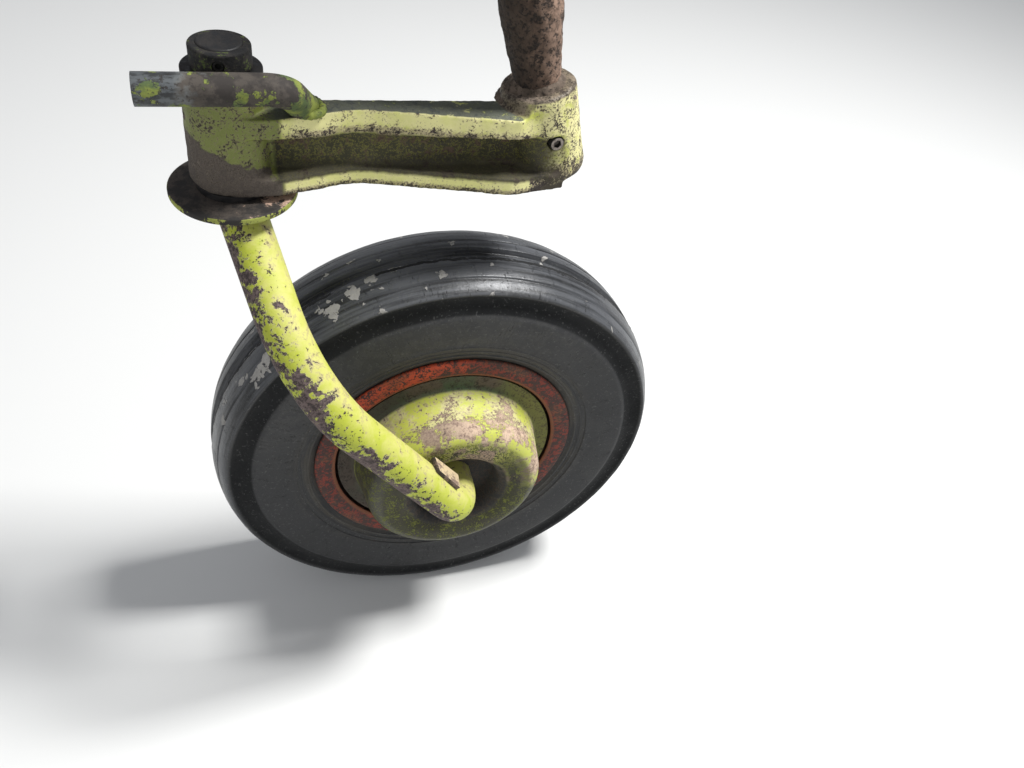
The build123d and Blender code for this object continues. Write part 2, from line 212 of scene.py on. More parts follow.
bpy.context.scene.world = world
bpy.context.scene.view_settings.view_transform = "Standard"


# Rotor column: a thick steel tube that leans back from the arm. Its paint is long gone, and rust
# has pitted it all over. Its side toward the right is painted paler as sunlight, and its left side
# is painted darker as shade.
def loose_copy(node_name, name):
    """A copy of a CAD node as one closed mesh, to be worked on."""
    piece = bpy.data.objects.new(name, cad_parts[node_name].data.copy())
    bpy.context.collection.objects.link(piece)
    bpy.ops.object.select_all(action="DESELECT")
    piece.select_set(True)
    bpy.context.view_layer.objects.active = piece
    bpy.ops.object.mode_set(mode="EDIT")
    bpy.ops.mesh.select_all(action="SELECT")
    bpy.ops.mesh.remove_doubles(threshold=0.002 * mm)
    bpy.ops.object.mode_set(mode="OBJECT")
    return piece


def work(piece, kind, **settings):
    """Adds a modifier and applies it."""
    bpy.context.view_layer.objects.active = piece
    modifier = piece.modifiers.new(kind.lower(), kind)
    for setting, value in settings.items():
        setattr(modifier, setting, value)
    bpy.ops.object.modifier_apply(modifier=modifier.name)


def roughen(piece, name, size, octaves, depth):
    """Makes a surface lumpy; size is its largest lumps and depth how far they stand, in metres."""
    texture = bpy.data.textures.new(name, "CLOUDS")
    texture.noise_scale = size
    texture.noise_depth = octaves
    work(piece, "DISPLACE", texture=texture, strength=depth, texture_coords="LOCAL")


rust_pale_and_sunlit = (0.30, 0.195, 0.138)
rust_brown = (0.066, 0.039, 0.025)
rust_dark = (0.018, 0.011, 0.007)
rust_grain = (0.070, 0.043, 0.029)
rust_painted_shade = (0.030, 0.020, 0.013)
column_voxel = 1.5 * mm
scab_size = 13 * mm
scab_depth = 2.4 * mm
grain_size = 4 * mm
grain_depth = 1.1 * mm
pit_depth = 1.2 * mm
column = loose_copy("rotor_column", "pitted_column")
work(column, "REMESH", mode="VOXEL", voxel_size=column_voxel)
work(column, "SMOOTH", factor=0.5, iterations=2)
roughen(column, "rust_scabs", scab_size, 4, scab_depth)
roughen(column, "rust_grain", grain_size, 2, grain_depth)
column.data.materials.clear()
bpy.ops.object.shade_smooth()
sheet = Sheet("pitted_rust")
blotch = sheet.step(sheet.noise(30 * mm, 5, 0.65), 0.44, 0.56)
grain = sheet.noise(4.5 * mm, 6, 0.72)
pits = sheet.step(sheet.noise(11 * mm, 7, 0.72), 0.54, 0.60)
small_pits = sheet.step(sheet.noise(3 * mm, 4, 0.7), 0.54, 0.61)
# Painted sunlight: the side that faces right is painted paler.
painted_sunlit_side = sheet.step(sheet.facing((0.85, -0.35, 0.3)), 0.0, 0.85)
colour = sheet.mix(blotch * 0.25 + painted_sunlit_side * 0.75, rust_brown, rust_pale_and_sunlit)
colour = sheet.mix(sheet.step(grain, 0.47, 0.60) * 0.7, colour, rust_grain)
# Painted shade: the side that faces left is painted darker.
painted_shade_side = sheet.step(sheet.facing((-0.95, -0.3, 0)), 0.2, 0.9)
colour = sheet.mix(painted_shade_side * 0.8, colour, rust_painted_shade)
colour = sheet.mix((pits | small_pits) * 0.85, colour, rust_dark)
height = grain * 0.5 + blotch * 0.3 - pits - small_pits * 0.6
column_rust = sheet.finish(colour, 0.88, 0.0, height, pit_depth)
column.data.materials.append(column_rust)
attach(column, "arm")
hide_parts("rotor_column")

# Carrier arm: one iron casting, sand-rough all over. Its lime paint has pale highlights painted on
# the front edges, is grey on top with grease and dust and a painted shadow of the column, and is
# eaten through by rust in the recess and under the bosses, where grime and painted shade darken the
# recess. The swivel boss is painted darker as shade, and the column boss's left side has mud and
# painted shade.
arm_bright = (0.54, 0.57, 0.105)
arm_pale = (0.74, 0.69, 0.33)
arm_thin = (0.36, 0.28, 0.19)
arm_bare = (0.20, 0.150, 0.120)
arm_dark = (0.038, 0.030, 0.025)
arm_highlight_colour = (0.86, 0.82, 0.36)
swivel_boss_painted_shadow = (0.145, 0.172, 0.036)
boss_brown_dark = (0.080, 0.065, 0.053)
boss_brown_light = (0.145, 0.118, 0.092)
grime_black_and_shade = (0.026, 0.022, 0.018)
grime_green = (0.175, 0.168, 0.042)
grime_rust = (0.095, 0.063, 0.042)
grime_low_and_shade = (0.040, 0.034, 0.027)
grease_dark = (0.046, 0.056, 0.052)
grease_pale = (0.100, 0.112, 0.098)
dust_brown = (0.185, 0.140, 0.105)
dust_dark = (0.060, 0.043, 0.032)
arm_voxel = 1.25 * mm
sand_lump = 14 * mm
sand_lump_depth = 0.9 * mm
sand_grain = 3.5 * mm
sand_grain_depth = 0.35 * mm
# The line above which the swivel boss keeps its paint: its height at the boss's left side, and
# how far it falls for each millimetre to the right
slant_height = 38 * mm
slant_left = -157 * mm
slant_fall = 0.51
arm = loose_copy("carrier_arm", "cast_arm")
work(arm, "REMESH", mode="VOXEL", voxel_size=arm_voxel)
work(arm, "SMOOTH", factor=0.5, iterations=5)
roughen(arm, "sand_lumps", sand_lump, 2, sand_lump_depth)
roughen(arm, "sand_grain", sand_grain, 2, sand_grain_depth)
arm.data.materials.clear()
bpy.ops.object.shade_smooth()
sheet = Sheet("arm_paint")
across, up = sheet.parts(sheet.point, "xz")
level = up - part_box("carrier_arm")[0].z
upward = sheet.facing((0, 0, 1))
frontward = sheet.facing((0, -1, 0))
cloudy = sheet.noise(30 * mm, 4, 0.6)
ragged = sheet.noise(8 * mm, 7, 0.7)
fine = sheet.noise(1.4 * mm, 6, 0.74)
mottle = fine * 0.6 + ragged * 0.4
jitter = (ragged - 0.5) * (16 * mm)
on_swivel = sheet.step(across * -1, 104 * mm, 108 * mm)
on_column = sheet.step(across, 52 * mm, 62 * mm)
# Between the flanges, and round the column boss as far as its screw: grime, and painted shade
hollow = sheet.band(level + jitter * 0.25, 11 * mm, 39 * mm, 1.5 * mm)
hollow = hollow * sheet.step(across, -112 * mm, -108 * mm)
hollow = hollow * sheet.step(across * -1 + jitter * 1.3, -82 * mm, -60 * mm)
# The lower half of each flange's front, and the foot of the column boss
hanging = sheet.band(level + jitter * 0.4, -9 * mm, 5 * mm, 2.5 * mm) * 1.7
hanging = hanging | sheet.band(level + jitter * 0.4, 33 * mm, 43 * mm, 2.5 * mm)
hanging = hanging * (1 - hollow) * (1 - on_swivel) * sheet.step(frontward, -0.4, 0.2)
hanging = hanging * (1 - on_column * sheet.step(level, 15 * mm, 20 * mm))
foot = on_column * sheet.step(level * -1 + jitter * 0.8, -26 * mm, -9 * mm)
# The swivel boss is bare under its slanting line
slant = slant_height - (across - slant_left) * slant_fall - level
slant = slant + jitter * 0.7 + (cloudy - 0.5) * (18 * mm)
bare_boss = sheet.step(slant, -1.0 * mm, 1.0 * mm) * on_swivel
paler = cloudy * 0.5 + ragged * 0.5 + on_column * 0.08 - on_swivel * 0.06 + upward * 0.06
paint = sheet.mix(sheet.step(paler, 0.43, 0.56), arm_bright, arm_pale)
# Painted shadow: the swivel boss is darker, as shaded by a tube overhead that is not built.
paint = sheet.mix(on_swivel * 0.9, paint, swivel_boss_painted_shadow)
# Painted highlight: pale bands along the flanges' front edges, where light falls.
painted_highlight = sheet.band(level, 44 * mm, 53 * mm, 3 * mm) | sheet.band(level, 5 * mm, 12 * mm, 2 * mm)
painted_highlight = painted_highlight * sheet.step(frontward, 0.1, 0.5) * (1 - on_swivel) * (1 - on_column)
paint = sheet.mix(painted_highlight * 0.7, paint, arm_highlight_colour)
worn_thin = sheet.step(mottle + hanging * 0.110 + foot * 0.20 - painted_highlight * 0.04, 0.500, 0.550)
colour = sheet.mix(worn_thin * 0.68, paint, arm_thin)
chips = ragged * 0.45 + cloudy * 0.35 + fine * 0.20 + on_swivel * 0.024 + foot * 0.03 - painted_highlight * 0.04
chips = sheet.step(chips, 0.560, 0.572)
colour = sheet.mix(chips, colour, sheet.mix(sheet.step(fine, 0.44, 0.56), arm_bare, arm_dark))
specks = mottle + hanging * 0.048 + foot * 0.078 + on_swivel * 0.010 + on_column * 0.026 - painted_highlight * 0.03
specks = sheet.step(specks, 0.548, 0.580)
colour = sheet.mix(specks * 0.92, colour, arm_dark)
boss_brown = sheet.mix(sheet.step(mottle, 0.44, 0.56), boss_brown_dark, boss_brown_light)
colour = sheet.mix(bare_boss, colour, boss_brown)
grime_and_shade = sheet.mix(sheet.step(mottle, 0.500, 0.530), grime_black_and_shade, grime_green)
grime_and_shade = sheet.mix(sheet.step(ragged, 0.54, 0.60), grime_and_shade, grime_rust)
low_in_hollow = sheet.step(level * -1 + jitter * 0.5, -22 * mm, -13 * mm)
grime_and_shade = sheet.mix(low_in_hollow * 0.7, grime_and_shade, grime_low_and_shade)
colour = sheet.mix(hollow * 0.96, colour, grime_and_shade)
# Grease and dust on the beam's top, painted darker also as the column's shadow.
top_side = sheet.step(upward, 0.72, 0.92)
grease = top_side * sheet.band(across, -112 * mm, 56 * mm, 7 * mm) * sheet.step(ragged, 0.30, 0.44)
grease = grease * sheet.step(level, 42 * mm, 46 * mm)
grease_and_shadow_tone = sheet.mix(sheet.step(mottle, 0.42, 0.58), grease_dark, grease_pale)
colour = sheet.mix(grease * 0.93, colour, grease_and_shadow_tone)
dusted = sheet.step(level + jitter * 0.35, 56 * mm, 59 * mm) * sheet.step(upward, 0.2, 0.6)
# Mud on the column boss's left side, painted darker also as shade.
left_side_mud_and_shade = sheet.step(level + jitter * 0.5, 46 * mm, 51 * mm)
left_side_mud_and_shade = left_side_mud_and_shade * sheet.step(sheet.facing((-1, 0, 0)), 0.1, 0.6)
dusted = (dusted | left_side_mud_and_shade) * sheet.step(across, 20 * mm, 30 * mm)
dust_tone = sheet.mix(sheet.step(mottle, 0.45, 0.53), dust_brown, dust_dark)
colour = sheet.mix(dusted * 0.95, colour, dust_tone)
dull = chips | specks | bare_boss | hollow | grease
height = mottle * 0.7 - (chips | specks) * 0.55 - bare_boss * 0.5
arm_paint = sheet.finish(colour, 0.55 + dull * 0.32, 0.0, height, 0.6 * mm)
arm.data.materials.append(arm_paint)
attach(arm, "arm")
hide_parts("carrier_arm")


# Mud and dust that the rain has packed round the column's foot. It lies on the boss's top and
# runs down on its left to the beam.
def round_axis(direction):
    """The turn that lays +Z along a direction."""
    return Vector(direction).to_track_quat("Z", "Y").to_euler()


def choose(piece, test):
    """Selects the vertices that pass a test, in edit mode."""
    mesh = bmesh.from_edit_mesh(piece.data)
    bpy.ops.mesh.select_mode(type="VERT")
    for vertex in mesh.verts:
        vertex.select = test(vertex.co)
    mesh.select_flush(True)
    mesh.select_flush(False)
    bmesh.update_edit_mesh(piece.data)


def start(name):
    """Names the new primitive, and opens it for editing with all of it selected."""
    piece = bpy.context.object
    piece.name = name
    bpy.ops.object.transform_apply(location=True, rotation=True, scale=True)
    bpy.ops.object.mode_set(mode="EDIT")
    bpy.ops.mesh.select_all(action="SELECT")
    return piece


def settle(piece, material, body, slot, *replaced):
    """Closes a piece's mesh, smooths it and gives it its finish and body. Its slot is not used."""
    if bpy.context.mode != "OBJECT":
        bpy.ops.mesh.select_all(action="SELECT")
        bpy.ops.mesh.remove_doubles(threshold=0.002 * mm)
        bpy.ops.mesh.normals_make_consistent(inside=False)
        bpy.ops.object.mode_set(mode="OBJECT")
    bpy.ops.object.select_all(action="DESELECT")
    piece.select_set(True)
    bpy.context.view_layer.objects.active = piece
    bpy.ops.object.shade_smooth_by_angle(angle=radians(38))
    piece.data.materials.clear()
    piece.data.materials.append(material)
    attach(piece, body)
    if replaced:
        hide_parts(*replaced)


mud_brown = (0.070, 0.052, 0.037)
mud_dark = (0.028, 0.021, 0.015)
mud_dust = (0.165, 0.124, 0.094)
column_lean = radians(14.5)
column_up = Vector((-sin(column_lean), 0, cos(column_lean)))
column_foot = Vector((73.77, 0, -285.22)) * mm
boss_top = column_foot + column_up * 63 * mm
mud_foot_r = 20 * mm
mud_top_r = 14 * mm
mud_height = 8 * mm
mud_voxel = 0.8 * mm
mud_lump = 7 * mm
mud_lump_depth = 2.2 * mm
mud_crumb = 2.2 * mm
mud_crumb_depth = 0.9 * mm
mud_slumps = [
    # how far left of the boss's middle it starts, and how far the mud has slid there
    (8 * mm, (-4 * mm, 1 * mm, -3.5 * mm)),
    (17 * mm, (-4 * mm, 1 * mm, -4 * mm)),
]
bpy.ops.object.select_all(action="DESELECT")
bpy.ops.mesh.primitive_cone_add(
    vertices=64, radius1=mud_foot_r, radius2=mud_top_r, depth=mud_height,
    location=boss_top + column_up * 2 * mm, rotation=round_axis(column_up),
)
mud = start("column_mud")
for left, slide in mud_slumps:
    choose(mud, lambda point: (point - boss_top).dot(column_up) < 1 * mm and point.x < boss_top.x - left)
    bpy.ops.transform.translate(value=slide)
bpy.ops.object.mode_set(mode="OBJECT")
work(mud, "REMESH", mode="VOXEL", voxel_size=mud_voxel)
work(mud, "SMOOTH", factor=0.5, iterations=10)
roughen(mud, "mud_lumps", mud_lump, 4, mud_lump_depth)
roughen(mud, "mud_crumbs", mud_crumb, 2, mud_crumb_depth)
sheet = Sheet("dried_mud")
crumbs = sheet.noise(2.5 * mm, 5, 0.7)
colour = sheet.mix(sheet.step(sheet.noise(12 * mm, 4, 0.6), 0.35, 0.65), mud_brown, mud_dust)
colour = sheet.mix(sheet.step(crumbs, 0.52, 0.64), colour, mud_dark)
dried_mud = sheet.finish(colour, 0.95, 0.0, crumbs, 0.8 * mm)
settle(mud, dried_mud, "arm", "column_rust")

# Set screws: socket screws of black steel, one in the column boss and a small one in the stop
# collar. Each is turned, its edge broken, and its hexagon socket pressed in.
socket_half = 0.52
socket_depth = 0.7
edge_break = 0.1
face_rim = 0.3
face_set_in = 0.13
steel_black = (0.0075, 0.0075, 0.008)
steel_dusty = (0.024, 0.021, 0.019)
steel_rust = (0.075, 0.050, 0.034)
screw_shadow = (0.012, 0.010, 0.009)
screw_pale = (0.30, 0.26, 0.22)
screw_brown = (0.13, 0.10, 0.085)
sheet = Sheet("dark_steel")
grease = sheet.noise(7 * mm, 6, 0.65)
colour = sheet.mix(sheet.step(grease, 0.40, 0.62), steel_black, steel_dusty)
colour = sheet.mix(sheet.step(sheet.noise(3 * mm, 5, 0.7), 0.66, 0.72), colour, steel_rust)
dark_steel = sheet.finish(colour, 0.45 + sheet.step(grease, 0.35, 0.6) * 0.35, 0.0, grease, 0.4 * mm)
sheet = Sheet("screw_steel")
fine = sheet.noise(2 * mm, 5, 0.7)
face_side = sheet.step(sheet.facing((0, -1, 0)), 0.90, 0.97)
face_tone = sheet.mix(sheet.step(fine, 0.42, 0.60), screw_pale, screw_brown)
colour = sheet.mix(face_side, screw_shadow, face_tone)
screw_steel = sheet.finish(colour, 0.6, 0.0, fine, 0.2 * mm)
boss_outward = Vector((0.126, -0.9914, 0.0338))
collar_outward = Vector((-0.1045, -0.9945, 0))
screws = [
    # name, CAD node, body, radius, direction of its face, finish
    ("column_socket_screw", "column_set_screw", "arm", 4.7 * mm, boss_outward, screw_steel),
    ("collar_socket_screw", "collar_screw", "leg", 3.2 * mm, collar_outward, dark_steel),
]
for name, node, body, screw_r, outward, steel in screws:
    low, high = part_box(node)
    outward.normalize()
    reach = (high.y - low.y) / 2 - screw_r * face_set_in
    face = (low + high) / 2 + outward * reach
    length = 2 * reach
    bpy.ops.object.select_all(action="DESELECT")
    bpy.ops.mesh.primitive_cylinder_add(
        vertices=72, radius=screw_r, depth=length, location=face - outward * length / 2,
        rotation=round_axis(outward),
    )
    screw = start(name)
    choose(screw, lambda point: (point - face).dot(outward) > -0.01 * mm)
    bpy.ops.mesh.bevel(offset=edge_break * screw_r, segments=3)
    choose(screw, lambda point: (point - face).dot(outward) > -0.01 * mm)
    bpy.ops.mesh.inset(thickness=face_rim * screw_r)
    mesh = bmesh.from_edit_mesh(screw.data)
    side = outward.orthogonal().normalized()
    other = outward.cross(side)
    for vertex in mesh.verts:
        if vertex.select:
            from_face = vertex.co - face
            angle = atan2(from_face.dot(other), from_face.dot(side))
            from_flat = (angle % (pi / 3)) - pi / 6
            out = socket_half * screw_r / cos(from_flat)
            vertex.co = face + (side * cos(angle) + other * sin(angle)) * out
    bmesh.update_edit_mesh(screw.data)
    bpy.ops.mesh.extrude_region_move(TRANSFORM_OT_translate={"value": outward * -socket_depth * screw_r})
    settle(screw, steel, body, "dark_steel", node)


# Bent bar: a round steel bar, bent cold and welded to the arm's top flange. Hands and ropes keep
# its free end bare; farther in it keeps some green paint under brown dirt.
def dress(name, material):
    """Gives a CAD node its finish."""
    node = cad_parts[name]
    node.data.materials.clear()
    node.data.materials.append(material)


bar_bright = (0.120, 0.130, 0.135)
bar_dull = (0.050, 0.052, 0.053)
bar_worn = (0.26, 0.27, 0.26)
bar_dirt_dark = (0.032, 0.026, 0.022)
bar_dirt_light = (0.070, 0.058, 0.047)
bar_green_dark = (0.075, 0.110, 0.036)
bar_green_light = (0.22, 0.255, 0.045)
bar_speck = (0.035, 0.028, 0.023)
bar_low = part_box("bent_bar")[0]
sheet = Sheet("bar_steel")
(across,) = sheet.parts(sheet.point, "x")
smudge = sheet.noise(14 * mm, 6, 0.65)
scratch = sheet.noise(2.5 * mm, 5, 0.7, 0.0, sheet.place((0, 0, 0), (0.3, 1, 1)))
inward = sheet.step(across + (smudge - 0.5) * (60 * mm), bar_low.x + 20 * mm, bar_low.x + 34 * mm)
steel = sheet.mix(sheet.step(scratch, 0.44, 0.58), bar_bright, bar_dull)
worn_band = sheet.band(across + (smudge - 0.5) * (20 * mm), bar_low.x + 24 * mm, bar_low.x + 44 * mm, 5 * mm)
steel = sheet.mix(worn_band * 0.7, steel, bar_worn)
dirt = sheet.mix(sheet.step(smudge, 0.44, 0.56), bar_dirt_dark, bar_dirt_light)
colour = sheet.mix(inward, steel, dirt)
green = sheet.noise(15 * mm, 7, 0.68, 0.0, sheet.place((3 * mm, 0, 0)))
green = green + sheet.step(across, bar_low.x + 60 * mm, bar_low.x + 78 * mm) * 0.05
paint_left = sheet.step(green, 0.535, 0.55)
green_tone = sheet.mix(sheet.step(smudge, 0.4, 0.6), bar_green_dark, bar_green_light)
colour = sheet.mix(paint_left, colour, green_tone)
colour = sheet.mix(sheet.step(sheet.noise(3 * mm, 5, 0.7), 0.56, 0.62) * 0.8, colour, bar_speck)
metal = (0.5 - inward * 0.5) * (1 - paint_left)
bar_steel = sheet.finish(colour, 0.48 + inward * 0.32, metal, scratch * 0.5 + paint_left * 0.5, 0.35 * mm)
dress("bent_bar", bar_steel)


def weld_bead(name, centre, long_r, short_r, heading, bead_r, ripples, material, body, slot):
    """A rippled bead round a bar, as an oval ring that lies level; heading is its long way."""
    bpy.ops.object.select_all(action="DESELECT")
    bpy.ops.mesh.primitive_torus_add(
        major_segments=ripples * 6, minor_segments=14, major_radius=short_r, minor_radius=bead_r
    )
    bead = start(name)
    for vertex in bmesh.from_edit_mesh(bead.data).verts:
        angle = atan2(vertex.co.y, vertex.co.x)
        ring = Vector((cos(angle), sin(angle), 0))
        spot = ring * short_r
        wave = 0.9 + 0.16 * abs(sin(angle * ripples / 2)) + 0.12 * noise(ring * 5)
        vertex.co = spot + (vertex.co - spot) * wave
        vertex.co += ring * (long_r - short_r) * cos(angle) ** 2
    bmesh.update_edit_mesh(bead.data)
    bpy.ops.transform.rotate(value=-heading, orient_axis="Z", center_override=(0, 0, 0))
    bpy.ops.transform.translate(value=centre)
    settle(bead, material, body, slot)


swivel_low, swivel_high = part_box("swivel_flange")
swivel_centre = (swivel_low + swivel_high) / 2
weld_bead(
    "bar_weld", centre=Vector((swivel_centre.x + 45 * mm, -9 * mm, bar_low.z + 1 * mm)),
    long_r=12 * mm, short_r=9.6 * mm, heading=radians(120), bead_r=2.6 * mm, ripples=26,
    material=bar_steel, body="arm", slot="bar_steel",
)

# Swivel: a turned flange welded on the leg's end, a spindle that stands up through the casting, a
# thrust washer under it, and a washer and a stop collar on top. All of it is black with grease
# and dust; the flange keeps a little lime paint round its rim, and a pale patch on its top is dust
# painted bright as a pool of sunlight.
collar_black = (0.0085, 0.008, 0.008)
collar_dust = (0.030, 0.025, 0.021)
collar_green = (0.10, 0.135, 0.032)
flange_dark = (0.026, 0.023, 0.021)
flange_brown = (0.075, 0.061, 0.050)
flange_dust_and_sunlight = (0.62, 0.42, 0.31)
flange_lime = (0.33, 0.36, 0.075)
flange_speck = (0.030, 0.023, 0.019)
dress("swivel_spindle", dark_steel)
dress("thrust_washer", dark_steel)
dress("top_washer", dark_steel)
sheet = Sheet("collar_steel")
caked = sheet.noise(9 * mm, 7, 0.7)
fine = sheet.noise(2.4 * mm, 5, 0.7)
colour = sheet.mix(sheet.step(caked, 0.44, 0.58), collar_black, collar_dust)
green_left = sheet.step(caked * 0.5 + fine * 0.5 + sheet.facing((-0.7, -0.7, 0)) * 0.02, 0.565, 0.58)
colour = sheet.mix(green_left * 0.8, colour, collar_green)
collar_steel = sheet.finish(colour, 0.8, 0.0, caked + fine * 0.4, 1.2 * mm)
dress("stop_collar", collar_steel)
sheet = Sheet("flange_paint")
(across,) = sheet.parts(sheet.place(swivel_centre), "x")
smear = sheet.noise(13 * mm, 6, 0.68)
fine = sheet.noise(2.4 * mm, 5, 0.7)
top_side = sheet.step(sheet.facing((0, 0, 1)), 0.5, 0.9)
colour = sheet.mix(sheet.step(smear, 0.42, 0.58), flange_dark, flange_brown)
# A pale patch on the flange's top: dust, painted bright as a pool of sunlight.
dust_and_sunlight_patch = sheet.step(smear * 0.5 + across * 1.6, 0.300, 0.325) * top_side
colour = sheet.mix(dust_and_sunlight_patch * 0.9, colour, flange_dust_and_sunlight)
lime_left = sheet.step(smear - top_side * 0.3 - sheet.step(fine, 0.5, 0.6) * 0.02, 0.47, 0.485)
colour = sheet.mix(lime_left, colour, flange_lime)
colour = sheet.mix(sheet.step(fine, 0.56, 0.62) * 0.8, colour, flange_speck)
flange_paint = sheet.finish(colour, 0.82, 0.0, smear + fine * 0.3, 0.6 * mm)
dress("swivel_flange", flange_paint)

# Leg: one round steel bar, bent hot round the wheel. Its lime paint bleaches on top, flakes off in
# patches down to purple rust, and is eaten by rust specks on the side that stays wet.
leg_bright = (0.46, 0.51, 0.042)
leg_pale = (0.59, 0.57, 0.17)
leg_thin = (0.42, 0.34, 0.18)
leg_rust = (0.175, 0.128, 0.118)
leg_dark = (0.055, 0.040, 0.038)
leg_flake_edge = (0.66, 0.63, 0.36)
big_chip = Vector((-97, -104, -393)) * mm
sheet = Sheet("leg_paint")
wet = sheet.facing((-0.72, -0.12, -0.68))
upper = sheet.facing((0.35, 0.1, 0.93))
patch = sheet.noise(19 * mm, 8, 0.68, 0.5)
ragged = sheet.noise(6 * mm, 8, 0.72)
fine = sheet.noise(2.0 * mm, 5, 0.7)
chipped = patch * 0.6 + ragged * 0.4 + wet * 0.088
chipped = chipped + sheet.step(sheet.from_spot(big_chip) * -1, -15 * mm, -8 * mm) * 0.055
flaked = sheet.step(chipped, 0.517, 0.527)
flake_edge = sheet.step(chipped, 0.505, 0.513) * (1 - flaked)
specks = sheet.step(ragged * 0.5 + fine * 0.5 + wet * 0.055, 0.545, 0.566)
paint = sheet.mix(sheet.step(upper + (patch - 0.5) * 2.4, 0.15, 0.95), leg_bright, leg_pale)
thin = sheet.step(ragged * 0.5 + patch * 0.5 + fine * 0.2, 0.615, 0.655)
colour = sheet.mix(thin * 0.65, paint, leg_thin)
colour = sheet.mix(flake_edge * 0.6, colour, leg_flake_edge)
rust = sheet.mix(sheet.step(fine * 0.6 + ragged * 0.4, 0.45, 0.56), leg_rust, leg_dark)
colour = sheet.mix(flaked | specks, colour, rust)
bare = flaked | specks
leg_paint = sheet.finish(colour, 0.60 + bare * 0.28, 0.0, 1 - bare + fine * 0.4, 0.5 * mm)
dress("castor_leg", leg_paint)
weld_bead(
    "leg_weld", centre=Vector((swivel_centre.x, 0, swivel_low.z - 1.5 * mm)),
    long_r=24 * mm, short_r=16.5 * mm, heading=radians(107.7), bead_r=3.4 * mm, ripples=34,
    material=leg_paint, body="leg", slot="leg_paint",
)

# Keeper plate: flame-cut steel plate, set against the leg's upper side over the shield. Its outer
# face is worn tan and painted lighter as lit; its other sides, the edge toward the leg among them,
# are painted dark as shade.
leg_down = Vector((0.625, 0, -0.78)).normalized()
plate_face = Vector((0.78, -0.12, 0.625)).normalized()
plate_centre = Vector((-0.8, -97.5, -495.5)) * mm
plate_length = 34 * mm
plate_width = 13 * mm
plate_thick = 4.5 * mm
plate_skew = (5 * mm, 2 * mm, 0)
plate_edge = 0.8 * mm
plate_shadow = (0.040, 0.030, 0.024)
plate_tan = (0.56, 0.44, 0.26)
plate_rust = (0.21, 0.145, 0.11)
bpy.ops.object.select_all(action="DESELECT")
bpy.ops.mesh.primitive_cube_add(size=1)
plate = start("keeper_strip")
bpy.ops.transform.resize(value=(plate_length, plate_width, plate_thick))
choose(plate, lambda point: point.x < 0 and point.y < 0)
bpy.ops.transform.translate(value=plate_skew)
bpy.ops.mesh.select_all(action="SELECT")
bpy.ops.mesh.bevel(offset=plate_edge, segments=2)
plate_across = plate_face.cross(leg_down).normalized()
for vertex in bmesh.from_edit_mesh(plate.data).verts:
    spot = vertex.co.copy()
    vertex.co = plate_centre + leg_down * spot.x + plate_across * spot.y + plate_face * spot.z
bmesh.update_edit_mesh(plate.data)
sheet = Sheet("keeper_rust")
smear = sheet.noise(9 * mm, 6, 0.68)
fine = sheet.noise(2 * mm, 5, 0.7)
# Painted light and shade: the outer face is lit tan, every other side painted dark.
bright_side = sheet.step(sheet.facing(plate_face), 0.7, 0.95)
colour = sheet.mix(bright_side, plate_shadow, plate_tan)
colour = sheet.mix(sheet.step(smear * 0.6 + fine * 0.4, 0.48, 0.58), colour, plate_rust)
keeper_rust = sheet.finish(colour, 0.75, 0.0, smear + fine * 0.4, 0.5 * mm)
settle(plate, keeper_rust, "leg", "column_rust", "keeper_plate")

# Shield: a dish pressed from sheet steel, which stands still on the leg and covers the wheel's
# inner side. Bright on its upper wall with a band of purple rust, and specked on its lip. Its lower
# wall and the lip's inner slope are painted olive as shade, its recess is painted dark as shade, and
# its flat ring is dark, painted lighter on the right as lit and darker on the left as shade.
lip_reach = 58 * mm
lip_growth = 7 * mm
lip_depth = 48 * mm
lip_fade = 11 * mm
middle_fade = 40 * mm
shield_bright = (0.50, 0.53, 0.085)
shield_pale = (0.60, 0.57, 0.25)
shield_thin = (0.44, 0.34, 0.24)
shield_rust_pale = (0.62, 0.450, 0.340)
shield_rust_brown = (0.34, 0.230, 0.178)
shield_rust_shaded = (0.15, 0.105, 0.094)
shield_speck = (0.085, 0.065, 0.050)
olive_shade_dark = (0.022, 0.020, 0.017)
olive_shade_green = (0.150, 0.165, 0.026)
ring_brown = (0.110, 0.086, 0.062)
ring_grey = (0.082, 0.094, 0.058)
ring_moss = (0.070, 0.118, 0.052)
ring_lit_lime = (0.180, 0.180, 0.040)
ring_shade_dark = (0.048, 0.036, 0.027)
ring_speck = (0.048, 0.036, 0.025)
recess_shade_black = (0.030, 0.029, 0.028)
recess_shade_brown = (0.068, 0.052, 0.040)
shield = loose_copy("wheel_shield", "dished_shield")
bpy.ops.object.mode_set(mode="EDIT")
for vertex in bmesh.from_edit_mesh(shield.data).verts:
    from_middle = vertex.co - wheel_centre
    out = Vector((from_middle.x, 0, from_middle.z))
    if from_middle.y < -lip_depth and out.length < lip_reach:
        share = min(1, (lip_reach - out.length) / lip_fade) * min(1, out.length / middle_fade)
        vertex.co -= out.normalized() * lip_growth * share * share
bmesh.update_edit_mesh(shield.data)
sheet = Sheet("shield_paint")
across, along, up, out = sheet.on_wheel()
patch = sheet.noise(26 * mm, 6, 0.66, 0.3)
ragged = sheet.noise(7 * mm, 8, 0.7)
fine = sheet.noise(1.9 * mm, 5, 0.7)
normal_across = sheet.facing((1, 0, 0))
normal_up = sheet.facing((0, 0, 1))
rimward = (normal_across * across + normal_up * up).sum("DIVIDE", out)
on_ring = sheet.step(along, -38 * mm, -35.5 * mm)
top_arc = sheet.step(up - across * 0.35 + (patch - 0.5) * (30 * mm), 8 * mm, 34 * mm)
